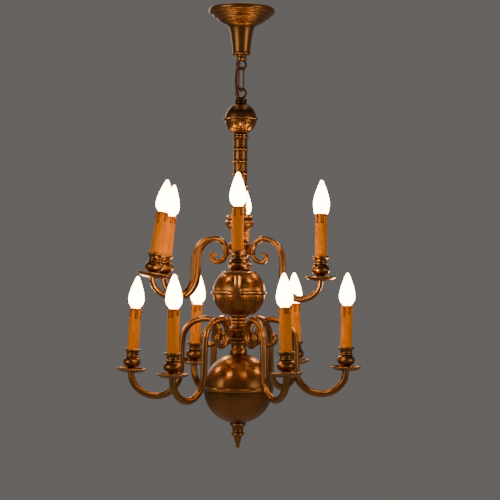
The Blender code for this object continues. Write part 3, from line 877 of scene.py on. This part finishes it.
@dataclass
class CeilingFitting:
    """The canopy and what is in it, down to the upper loop.

    A slot's stretch is how many times as long as wide it is.
    """

    loop_radius: float = 9.3
    loop_wire: float = 2.0
    loop_middle: float = -112.0
    strap_thick: float = 3.0
    slot_at: float = 34.0
    slot_half: float = 2.4
    slot_stretch: float = 3.2
    stem_radius: float = 5.0
    stem_root: float = 4.6
    thread_pitch: float = 1.5
    screw_pitch: float = 8.5

    def build(self, finishes: Finishes) -> None:
        """Make the canopy, its bracket and the loop under it.

        Args:
            finishes: The chandelier\'s materials.
        """
        canopy = spun(filleted(CANOPY_OUTLINE), 128, closed=True)
        piece("canopy_spinning", canopy, finishes.brass, FITTING, ["canopy"])
        self.bracket(finishes)
        self.stem(finishes)
        self.block(finishes)
        collar = filleted(((0, 0, 0), (10.4, 0, 0.4), (11.6, -1.0, 0.8), (11.6, -3.4, 0.8), (10.6, -4.4, 0.6),
                           (0, -4.6, 0)))
        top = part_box("upper_loop")[1].z
        piece("upper_loop_collar", spun(collar, 56), finishes.brass, FITTING, ["upper_loop"],
              Matrix.Translation((0, 0, top)))
        ring = wire_ring(self.loop_middle, self.loop_radius, self.loop_wire)
        piece("upper_loop_ring", ring, finishes.dark_brass, FITTING)

    def bracket(self, finishes: Finishes) -> None:
        """Press the strap bracket from sheet, with round ends, two slots and a threaded boss.

        Args:
            finishes: The chandelier\'s materials.
        """
        low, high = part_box("ceiling_bracket")
        shape = bmesh.new()
        bmesh.ops.create_grid(shape, x_segments=1, y_segments=1, size=1.0)
        bmesh.ops.scale(shape, vec=(high.x, high.y, 1), verts=shape.verts)
        bmesh.ops.bevel(shape, geom=shape.verts[:], offset=high.y * 0.9, segments=8, profile=0.5,
                        affect="VERTICES", material=-1)
        grown = bmesh.ops.extrude_face_region(shape, geom=shape.faces[:])["geom"]
        bmesh.ops.translate(shape, vec=(0, 0, -self.strap_thick * MM),
                            verts=[item for item in grown if isinstance(item, bmesh.types.BMVert)])
        bmesh.ops.recalc_face_normals(shape, faces=shape.faces)
        rim = [edge for edge in shape.edges if abs(edge.verts[0].co.z - edge.verts[1].co.z) < 1e-6]
        bmesh.ops.bevel(shape, geom=rim, offset=0.0005, segments=2, profile=0.5, affect="EDGES", material=-1)
        strap = piece("bracket_strap", shape, finishes.zinc, FITTING, ["ceiling_bracket"],
                      sharp=STRAP_SHARP, relief=False)
        cutters = []
        for side in (-1, 1):
            slot = bmesh.new()
            bmesh.ops.create_cone(slot, cap_ends=True, segments=24, radius1=self.slot_half * MM,
                                  radius2=self.slot_half * MM, depth=0.02)
            bmesh.ops.scale(slot, vec=(self.slot_stretch, 1, 1), verts=slot.verts)
            bmesh.ops.translate(slot, vec=(side * self.slot_at * MM, 0, 0), verts=slot.verts)
            cutters.append(mesh_object("slot_cutter", slot))
            strap.modifiers.new("slot", "BOOLEAN").object = cutters[-1]
        bake_modifiers(strap)
        for cutter in cutters:
            bpy.data.objects.remove(cutter, do_unlink=True)
        foot = low.z / MM
        boss = [*filleted(((8.0, -2.6, 0), (8.0, foot, 0.6), (5.4, foot, 0))), (5.4, -2.6)]
        piece("bracket_boss", spun(boss, 48, closed=True), finishes.zinc, FITTING)

    def stem(self, finishes: Finishes) -> None:
        """Turn the threaded tube, with its thread drawn as close rings.

        Args:
            finishes: The chandelier\'s materials.
        """
        low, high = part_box("canopy_stem")
        length = (high.z - low.z) / MM
        outline: list[Point] = [(0.0, 0.0), (self.stem_root, 0.0)]
        for turn in range(int(length // self.thread_pitch)):
            start = -self.thread_pitch * turn
            outline += [(self.stem_radius, start - 0.5), (self.stem_root, start - 1.25)]
        outline += [(self.stem_root, -length), (0.0, -length)]
        piece("canopy_stem_thread", spun(outline, 32), finishes.zinc, FITTING, ["canopy_stem"],
              Matrix.Translation((0, 0, high.z)))

    def block(self, finishes: Finishes) -> None:
        """Mould the terminal block, a plain rounded body, and set three screws in its front.

        Args:
            finishes: The chandelier\'s materials.
        """
        low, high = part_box("terminal_block")
        middle, size = (low + high) / 2, high - low
        shape = bmesh.new()
        bmesh.ops.create_cube(shape, size=1.0)
        bmesh.ops.scale(shape, vec=(size.x, size.y, size.z), verts=shape.verts)
        bmesh.ops.bevel(shape, geom=shape.edges[:], offset=0.0012, segments=3, profile=0.5, affect="EDGES",
                        material=-1)
        piece("terminal_block_body", shape, finishes.block, FITTING, ["terminal_block"],
              Matrix.Translation(middle), relief=False)
        for index in (-1, 0, 1):
            screw = filleted(((0, 0, 0), (2.2, 0, 0.3), (2.2, 1.6, 0.4), (0, 1.6, 0)))
            at = Matrix.Translation((middle.x + index * self.screw_pitch * MM,
                                     middle.y + size.y / 2 - 0.0006, middle.z))
            piece(f"terminal_screw_{index + 2}", spun(screw, 20), finishes.nickel, FITTING,
                  place=at @ Matrix.Rotation(math.radians(-90), 4, "X"), relief=False)


def bake_modifiers(made: bpy.types.Object) -> None:
    """Turn the strap's modifiers into its mesh, and shade it again.

    Args:
        made: The strap.
    """
    bpy.context.view_layer.update()
    mesh = bpy.data.meshes.new_from_object(made.evaluated_get(bpy.context.evaluated_depsgraph_get()))
    made.modifiers.clear()
    made.data = mesh
    shade(mesh, STRAP_SHARP)


def wire_ring(middle: float, radius: float, wire: float) -> bmesh.types.BMesh:
    """Bend a round wire into an upright ring that faces the front.

    Args:
        middle: The height of its middle, in millimetres.
        radius: From its middle to the wire's.
        wire: The wire's own radius.

    Returns:
        The ring, in metres.
    """
    shape = bmesh.new()
    bmesh.ops.create_circle(shape, cap_ends=False, radius=wire * MM, segments=24)
    place = Matrix.Translation((radius * MM, 0, middle * MM))
    bmesh.ops.transform(shape, matrix=place, verts=shape.verts)
    bmesh.ops.spin(shape, geom=shape.verts[:] + shape.edges[:], axis=(0, 1, 0), cent=(0, 0, middle * MM),
                   steps=64, angle=math.tau, use_merge=True)
    bmesh.ops.remove_doubles(shape, verts=shape.verts, dist=1e-6)
    bmesh.ops.recalc_face_normals(shape, faces=shape.faces)
    return shape


@dataclass
class ChainLink:
    """The long oval link, bent from wire, with the slit where its ends meet."""

    wire: float = 1.6
    half_width: float = 8.1
    turn: float = -50.0
    slit: float = 0.9
    play: float = 0.5

    def build(self, finishes: Finishes) -> None:
        """Bend the link round its oval, from one side of the slit to the other.

        Args:
            finishes: The chandelier\'s materials.
        """
        low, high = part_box("chain_link")
        top, bottom = high.z / MM - self.wire + self.play, low.z / MM + self.wire - self.play
        straight = (top - bottom) / 2 - self.half_width
        middle = (top + bottom) / 2
        line = [(self.half_width, middle + self.slit / 2)]
        line += circle_line((0, middle + straight), self.half_width, 0, 180, 28)
        line += circle_line((0, middle - straight), self.half_width, 180, 360, 28)
        line += [(self.half_width, middle - self.slit / 2)]
        turn = math.radians(self.turn)
        flat = Vector((math.cos(turn), math.sin(turn), 0))
        points = [flat * (s * MM) + Vector((0, 0, z * MM)) for s, z in line]
        side = flat.cross(Vector((0, 0, 1)))
        stations = stations_along(points, [self.wire * MM] * len(points), side)
        piece("chain_link_wire", swept(stations, 20), finishes.dark_brass, LINK, ["chain_link"])


@dataclass
class SupplyFlex:
    """The brown flex that runs from the canopy's collar, round the link, into the lower collar.

    It is made in two lengths that meet beside the link's middle.
    """

    radius: float = 0.003
    route: tuple[tuple[float, float, float], ...] = (
        (-0.0040, -0.0070, -0.1037),
        (-0.0043, -0.0070, -0.1100),
        (-0.0060, -0.0068, -0.1180),
        (-0.0083, -0.0064, -0.1270),
        (-0.0096, -0.0060, -0.1370),
        (-0.0098, -0.0060, -0.1460),
        (-0.0092, -0.0062, -0.1550),
        (-0.0078, -0.0065, -0.1640),
        (-0.0062, -0.0069, -0.1720),
        (-0.0055, -0.0070, -0.1807),
    )

    def build(self, finishes: Finishes) -> None:
        """Sweep both lengths and hide the CAD flex.

        Args:
            finishes: The chandelier\'s materials.
        """
        line = soft_line([Vector(point) for point in self.route], 6)
        half = len(line) // 2
        for name, part, ends in (("flex_upper", line[: half + 1], (FITTING, LINK)),
                                 ("flex_lower", line[half:], (LINK, CHANDELIER))):
            stations = stations_along(part, [self.radius] * len(part), Vector((0, 1, 0)))
            made = mesh_object(name, swept(stations, 20), finishes.flex, sharp=50.0)
            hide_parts("supply_flex")
            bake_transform(made)


@dataclass
class LowerLoop:
    """The loop and collar on top of the small ball."""

    radius: float = 9.8
    wire: float = 2.15
    middle: float = -169.0

    def build(self, finishes: Finishes) -> None:
        """Bend the loop and turn its collar.

        Args:
            finishes: The chandelier\'s materials.
        """
        ring = wire_ring(self.middle, self.radius, self.wire)
        piece("lower_loop_ring", ring, finishes.dark_brass, CHANDELIER)
        collar = filleted(((0, -178.0, 0), (5.0, -178.4, 0.6), (6.0, -180.4, 1.0), (11.0, -181.1, 0.6),
                           (12.3, -182.2, 0.8), (12.3, -184.6, 0.8), (11.0, -185.6, 0.5), (11.0, -186.6, 0.4),
                           (12.0, -187.4, 0.5), (11.8, -189.4, 0.6), (10.4, -190.0, 0.3), (0, -190.0, 0)))
        piece("lower_loop_collar", spun(collar, 56), finishes.dark_brass, CHANDELIER,
              ["lower_loop"])


# ---------------------------------------------------------------- arms and lights


@dataclass(frozen=True)
class ArmShape:
    """The line of an arm in its own upright plane, in millimetres from the column's axis."""

    bend_middle: float
    bend_depth: float
    inner_reach: float
    inner_top: float
    curl_foot: Point
    curl: tuple[float, ...]
    rod: float
    tip: float
    stub_height: float
    last_turn: float = 60.0
    tenon: float = 7.0

    def hub_side(self) -> float:
        """How far out the curl's inner side stands, at the middle of the rod."""
        return self.curl_foot[0] - self.curl[0] - self.curl[1]

    def line(self, reach: float, end: float) -> list[Vector]:
        """Draw the arm from inside its cup, down the bend, up and round the curl.

        Args:
            reach: How far out the light stands.
            end: The height of the pan's foot.

        Returns:
            Points in millimetres: distance out, zero, height.
        """
        half_width, rise = self.bend_middle - self.inner_reach, self.inner_top - (end - self.bend_depth)
        line = [(reach, end + self.tenon)]
        line += [(self.bend_middle + (reach - self.bend_middle) * x, end + self.bend_depth * z)
                 for x, z in circle_line((0, 0), 1.0, 0, -90, 5)]
        line += [(self.bend_middle + half_width * x, self.inner_top + rise * z)
                 for x, z in circle_line((0, 0), 1.0, -90, -180, 5)[1:]]
        line.append(self.curl_foot)
        here, turn = self.curl_foot, 0.0
        for radius in self.curl:
            angle = math.radians(turn)
            centre = (here[0] - radius * math.cos(angle), here[1] - radius * math.sin(angle))
            sweep = self.last_turn if radius == self.curl[-1] else 90.0
            quarter = circle_line(centre, radius, turn, turn + sweep, 3)
            line += quarter[1:]
            here, turn = quarter[-1], turn + sweep
        return soft_line([Vector((x, 0.0, z)) for x, z in line], 6)


ARM_SHAPES: dict[Tier, ArmShape] = {
    Tier.UPPER: ArmShape(
        139.0, 37.0, 98.5, -528.0, (98.0, -502.5), (42.0, 26.0, 21.0, 10.5, 6.5), 5.5, 3.7, -485.5),
    Tier.LOWER: ArmShape(
        165.0, 46.0, 116.0, -722.0, (114.0, -667.0), (46.0, 30.0, 22.0, 14.0, 7.0), 6.75, 4.5, -651.0),
}


def light_axes(tier: Tier, place: int) -> tuple[Vector, Vector, Vector]:
    """Read where a light stands from its bulb's joint in the record.

    Args:
        tier: The ring of arms.
        place: The arm's number, from one.

    Returns:
        A point on the light's axis, the way that its arm points out, and the axis.
    """
    name = f"{tier.value}_bulb_{place}_turn"
    joint = next(joint for joint in frame["joints"] if joint["name"] == name)
    point, axis = Vector(joint["pos_m"]), Vector(joint["axis"]).normalized()
    foot = point - axis * SOCKET_FLOOR * MM
    return foot, Vector((foot.x, foot.y, 0)).normalized(), axis


GROOVE_AT = 0.72  # radians from the arm's plane
GROOVE_WIDTH, GROOVE_DEPTH = 0.15, 0.11


def reeded(angle: float) -> float:
    """The arm's section: round, with a broad bead on each side between two fine grooves.

    Args:
        angle: Round the section, from the side that faces out of the bend.

    Returns:
        The radius as a share of the rod's.
    """
    share = 1.0
    for groove in (GROOVE_AT, math.pi - GROOVE_AT):
        gap = (abs(angle) - groove) / GROOVE_WIDTH
        share -= GROOVE_DEPTH * math.exp(-gap * gap)
    return share


@dataclass(frozen=True)
class Run:
    """One wax run down a sleeve: its angle, in radians, its length and width, in millimetres."""

    angle: float
    length: float
    width: float


@dataclass
class Light:
    """One arm with its pan, cup, sleeve, lampholder and bulb."""

    tier: Tier
    place: int
    taper_start: float = 0.35
    tip_steps: tuple[float, ...] = (0.25, 0.5, 0.75, 0.92)
    sleeve_foot: float = 44.2
    sleeve_top: float = 129.0
    sleeve_radius: float = 11.4
    sleeve_bore: float = 10.2
    sleeve_row: float = 0.75
    run_height: float = 0.8
    run_length: Point = (9, 23)
    run_width: Point = (3.0, 4.4)
    run_spacing: Point = (48, 78)
    cap_foot: float = 113.4
    cap_pitch: float = 2.6
    pan: tuple[Corner, ...] = (
        (0, 0, 0), (9.0, 0.0, 0.6), (13.0, 0.4, 2.0), (21.0, 1.4, 4.0), (27.0, 4.8, 3.0), (28.8, 6.4, 0.6),
        (30.0, 7.0, 0.6), (30.3, 8.2, 0.8), (29.4, 9.3, 0.7), (28.0, 8.8, 0.6), (26.0, 6.6, 2.0),
        (20.4, 3.4, 3.0), (12.0, 2.6, 1.0), (0, 2.6, 0))
    cup: tuple[Corner, ...] = (
        (0, 1.8, 0), (10.4, 1.8, 0.3), (10.8, 3.4, 0.7), (8.6, 4.6, 0.8), (7.9, 8.4, 2.0), (9.4, 11.6, 1.2),
        (14.0, 13.8, 2.0), (17.2, 18.2, 3.6), (17.7, 23.0, 3.6), (15.4, 28.2, 2.8), (11.8, 31.0, 1.0),
        (12.0, 31.8, 0.3), (13.3, 32.6, 0.6), (13.3, 34.2, 0.6), (11.9, 35.0, 0.4), (11.4, 38.6, 2.4),
        (12.6, 42.0, 1.6), (15.2, 44.2, 0.9), (16.0, 45.2, 0.6), (16.1, 46.8, 0.7), (15.4, 48.0, 0.6),
        (12.4, 48.0, 0.3), (11.8, 47.2, 0.4), (11.8, 43.7, 0.0), (0, 43.7, 0))
    holder: tuple[Corner, ...] = (
        (7.8, 130.1, 0.2), (9.0, 130.1, 0.5), (9.8, 129.2, 0.4), (9.9, 116.0, 0.3), (9.9, 101.0, 0.5),
        (7.0, 97.0, 0.5), (3.0, 97.0, 0.0), (3.0, 109.6, 0.0), (7.4, 109.6, 0.4))
    glass: tuple[Corner, ...] = (
        (0, 126.5, 0), (6.4, 126.5, 0.4), (6.8, 130.2, 1.6), (10.8, 133.2, 3.4), (14.8, 139.4, 4.0),
        (16.1, 148.0, 6.5), (14.0, 162.0, 8.5), (9.2, 177.0, 8.5), (5.0, 188.0, 4.5), (3.0, 192.6, 1.6),
        (1.4, 194.0, 0.7), (0, 194.2, 0))

    def build(self, finishes: Finishes) -> None:
        """Make the whole light on its arm.

        Args:
            finishes: The chandelier\'s materials.
        """
        foot, out, axis = light_axes(self.tier, self.place)
        side = axis.cross(out).normalized()
        self.stand = Matrix.Translation(foot) @ Matrix((side.cross(axis), side, axis)).transposed().to_4x4()
        self.label = f"{self.tier.value}_{{}}_{self.place}"
        self.arm(foot, out, finishes)
        self.turned("pan", self.pan, 88, finishes.brass)
        self.turned("cup", self.cup, 64, finishes.brass)
        self.sleeve(finishes)
        self.socket(finishes)
        self.bulb(finishes)

    def turned(self, word: str, corners: tuple[Corner, ...], sides: int, finish: bpy.types.Material) -> None:
        """Spin a round piece on the light's axis.

        Args:
            word: What it is, for its name.
            corners: Its outline.
            sides: How many steps go round.
            finish: Its material.
        """
        piece(self.label.format(word), spun(filleted(corners), sides), finish, CHANDELIER,
              place=self.stand)

    def arm(self, foot: Vector, out: Vector, finishes: Finishes) -> None:
        """Bend the reeded rod, fine it down towards the curl and round off its tip.

        Args:
            foot: The foot of the light's pan, in metres.
            out: The level way from the column to the light.
            finishes: The chandelier's materials.
        """
        arm_shape = ARM_SHAPES[self.tier]
        reach = math.hypot(foot.x, foot.y) / MM
        line = arm_shape.line(reach, foot.z / MM)
        points = [out * (at.x * MM) + Vector((0, 0, at.z * MM)) for at in line]
        radii = []
        for index in range(len(line)):
            along = max(0.0, (index / (len(line) - 1) - self.taper_start) / (1 - self.taper_start))
            radii.append((arm_shape.rod + (arm_shape.tip - arm_shape.rod) * along) * MM)
        stations = stations_along(points, radii, out.cross(Vector((0, 0, 1))))
        last = stations[-1]
        for share in self.tip_steps:
            ahead = Matrix.Translation((0, 0, share))
            width = math.sqrt(1 - share * share)
            stations.append(last @ ahead @ Matrix.Diagonal((width, width, width, 1.0)))
        name = self.label.format("arm")
        piece(name + "_rod", swept(stations, 36, reeded), finishes.brass, CHANDELIER, [name],
              sharp=60.0)

    def runs(self) -> list[Run]:
        """Scatter the wax runs, the same ones each time for the same light.

        Returns:
            The runs, in order round the sleeve.
        """
        dice = random.Random(self.place * 31 + (7 if self.tier is Tier.UPPER else 0))
        angle, made = dice.uniform(0, 60), []
        while angle < 360:
            length, width = dice.uniform(*self.run_length), dice.uniform(*self.run_width)
            made.append(Run(math.radians(angle), length, width))
            angle += dice.uniform(*self.run_spacing)
        return made

    def sleeve(self, finishes: Finishes) -> None:
        """Mould the sleeve, and raise the runs and the melted lip at its top.

        Args:
            finishes: The chandelier\'s materials.
        """
        rows = [self.sleeve_top - 0.7 - self.sleeve_row * step for step in range(36)]
        outline = [(self.sleeve_bore, self.sleeve_top - 0.5), (self.sleeve_bore + 0.4, self.sleeve_top),
                   (self.sleeve_radius - 0.3, self.sleeve_top)]
        outline += [(self.sleeve_radius, height) for height in rows]
        outline += [(self.sleeve_radius, height) for height in (84.0, 64.0, self.sleeve_foot)]
        outline.append((self.sleeve_bore, self.sleeve_foot))
        shape = spun(outline, 104, closed=True)
        pooled = shape.verts.layers.float.new("pooled")
        runs = self.runs()
        for vert in shape.verts:
            radius, height = math.hypot(vert.co.x, vert.co.y) / MM, vert.co.z / MM
            if radius < self.sleeve_radius - 0.35:
                continue
            angle = math.atan2(vert.co.y, vert.co.x)
            gap = min(self.gap_to(run, angle, self.sleeve_top - height) for run in runs)
            lip = self.sleeve_top - height - (1.8 + 0.7 * math.sin(3 * angle + self.place))
            gap = min(gap, lip)
            rise = self.run_height * smooth_step(-gap / 1.3)
            vert[pooled] = 0.95 * math.exp(-((gap + 0.1) / 0.85) ** 2) + 0.25 * smooth_step(-gap / 1.0)
            vert.co.x *= (radius + rise) / radius
            vert.co.y *= (radius + rise) / radius
        piece(self.label.format("sleeve"), shape, finishes.sleeve, CHANDELIER,
              [self.label.format("candle")], self.stand, sharp=60.0, relief=False)

    def gap_to(self, run: Run, angle: float, below: float) -> float:
        """Measure how far a point of the sleeve is outside a run, in millimetres.

        Args:
            run: The run.
            angle: Where the point is round the sleeve, in radians.
            below: How far the point is below the sleeve's top, in millimetres.

        Returns:
            The gap, which is less than zero inside the run.
        """
        turn = (angle - run.angle + math.pi) % math.tau - math.pi
        across = abs(turn) * self.sleeve_radius
        drop_at = run.length - run.width / 2
        swell = 1.0 if below < drop_at - 3 else 1.0 + 0.25 * smooth_step((below - drop_at + 3) / 3)
        past = max(0.0, below - drop_at)
        return math.hypot(across, past) - run.width / 2 * swell

    def socket(self, finishes: Finishes) -> None:
        """Turn the lampholder whose rim shows in the sleeve's mouth.

        Args:
            finishes: The chandelier\'s materials.
        """
        shape = spun(filleted(self.holder), 48, closed=True)
        piece(self.label.format("lampholder"), shape, finishes.holder, CHANDELIER,
              place=self.stand, relief=False)

    def bulb(self, finishes: Finishes) -> None:
        """Blow the flame bulb, and roll its screw cap and contact.

        Args:
            finishes: The chandelier\'s materials.
        """
        body = self.label.format("bulb")
        shape = spun(filleted(self.glass, 6), 48)
        far = shape.verts.layers.float.new("far")
        for vert in shape.verts:
            height = vert.co.z / MM
            neck, tip = smooth_step((139.0 - height) / 12.0), smooth_step((height - 170.0) / 26.0)
            vert[far] = neck * 0.8 + tip * 0.4
        piece(body + "_glass", shape, finishes.glass, body, [body], self.stand, relief=False)
        cap: list[Corner] = [(0.0, 110.3, 0.0), (2.4, 110.3, 0.3), (2.6, 111.6, 0.3), (4.6, 112.2, 0.3)]
        for turn in range(5):
            height = self.cap_foot + self.cap_pitch * turn
            cap += [(6.0, height, 0.5), (6.7, height + 1.3, 0.7)]
        cap += [(6.2, 126.0, 0.3), (6.7, 127.4, 0.2), (6.7, 129.6, 0.2), (0.0, 129.6, 0.0)]
        piece(body + "_cap", spun(filleted(cap, 3), 40), finishes.nickel, body,
              place=self.stand, relief=False)


def smooth_step(share: float) -> float:
    """Ease a share from zero to one, and hold it there outside."""
    held = min(1.0, max(0.0, share))
    return held * held * (3 - 2 * held)


# ---------------------------------------------------------------- the studio


@dataclass(frozen=True)
class SoftBox:
    """One square area light: where it hangs and its side, in metres, and its power, in watts."""

    name: str
    place: tuple[float, float, float]
    side: float
    power: float


SOFT_BOXES = (
    SoftBox("key_box", (-2.6, -2.2, -0.1), 1.8, 20.0),
    SoftBox("fill_box", (2.7, -1.6, -0.4), 1.4, 11.0),
    SoftBox("back_box", (-1.2, 2.8, 0.6), 1.8, 14.0),
    SoftBox("floor_box", (0.0, 0.6, 2.6), 2.6, 18.0),
)


@dataclass
class Studio:
    """A plain pale floor, soft light and the camera."""

    distance: float = 2.66
    azimuth: float = 3.3
    height: float = -0.533
    pitch: float = 1.08
    roll: float = 0.54
    aim_right: float = 0.021
    lens: float = 95.8
    floor_drop: float = 1.6
    floor_half: float = 8.0
    room_strength: float = 0.45
    lights_aim: tuple[float, float, float] = (0, 0, -0.5)

    def floor(self) -> None:
        """Lay the floor well below the finial."""
        shape = bmesh.new()
        bmesh.ops.create_grid(shape, x_segments=1, y_segments=1, size=self.floor_half)
        bmesh.ops.translate(shape, vec=(0, 0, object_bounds()[0].z - self.floor_drop), verts=shape.verts)
        paint = Grained("floor_paint", "#DEDBD6", 0.85, second="#D4D1CC", grain_mm=40.0, share=0.3,
                        depth=0.05, sockets=(("Emission Strength", 0.05),))
        mesh_object("studio_floor", shape, paint.make())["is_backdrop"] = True

    def lights(self) -> None:
        """Hang the soft boxes, and light the room with a sky that is darker overhead."""
        world = bpy.data.worlds.new("studio_room")
        world.use_nodes = True
        tree = world.node_tree
        backdrop = tree.nodes["Background"]
        sky = add_node(tree, "ShaderNodeTexCoord").outputs["Generated"]
        parts = add_node(tree, "ShaderNodeSeparateXYZ", Vector=sky)
        height = add_node(tree, "ShaderNodeMapRange", s0=parts.outputs["Z"], s1=0.2, s2=0.85, s3=0.0, s4=1.0)
        tone = add_node(tree, "ShaderNodeMix", {"data_type": "RGBA"}, s0=height.outputs[0],
                        s6=linear("#96918D"), s7=linear("#2E2B29"))
        tree.links.new(tone.outputs[2], backdrop.inputs["Color"])
        backdrop.inputs["Strength"].default_value = self.room_strength
        bpy.context.scene.world = world
        for box in SOFT_BOXES:
            lamp = bpy.data.lights.new(box.name, "AREA")
            lamp.size, lamp.energy = box.side, box.power
            lamp.color = (1.0, 0.97, 0.93)
            holder = hung(box.name, lamp)
            holder.location = box.place
            aim = Vector(self.lights_aim) - Vector(box.place)
            holder.rotation_euler = aim.to_track_quat("-Z", "Y").to_euler()

    def camera(self) -> None:
        """Stand the camera where it looks at the chandelier a little from its right."""
        turn = math.radians(self.azimuth)
        right = Vector((math.cos(turn), math.sin(turn), 0))
        back = Vector((math.sin(turn), -math.cos(turn), 0))
        lens = bpy.data.cameras.new("studio_camera")
        lens.lens, lens.sensor_width = self.lens, 36.0
        camera = hung("studio_camera", lens)
        place = back * self.distance + right * self.aim_right + Vector((0, 0, self.height))
        pitch = math.radians(self.pitch)
        ahead = -back * math.cos(pitch) + Vector((0, 0, math.sin(pitch)))
        facing = ahead.to_track_quat("-Z", "Y").to_matrix().to_4x4()
        camera.matrix_world = (Matrix.Translation(place) @ facing
                               @ Matrix.Rotation(math.radians(self.roll), 4, "Z"))
        bpy.context.scene.camera = camera


def main() -> None:
    """Build the chandelier from the ceiling down, then the studio round it."""
    logging.basicConfig(level=logging.INFO, format="%(name)s %(message)s")
    finishes = Finishes.mixed()
    studio = Studio()
    studio.camera()
    CeilingFitting().build(finishes)
    ChainLink().build(finishes)
    SupplyFlex().build(finishes)
    LowerLoop().build(finishes)
    Column().build(finishes)
    for tier in Tier:
        for place in range(1, ARMS_PER_TIER + 1):
            Light(tier, place).build(finishes)
    studio.floor()
    studio.lights()


if __name__ == "__main__":
    main()
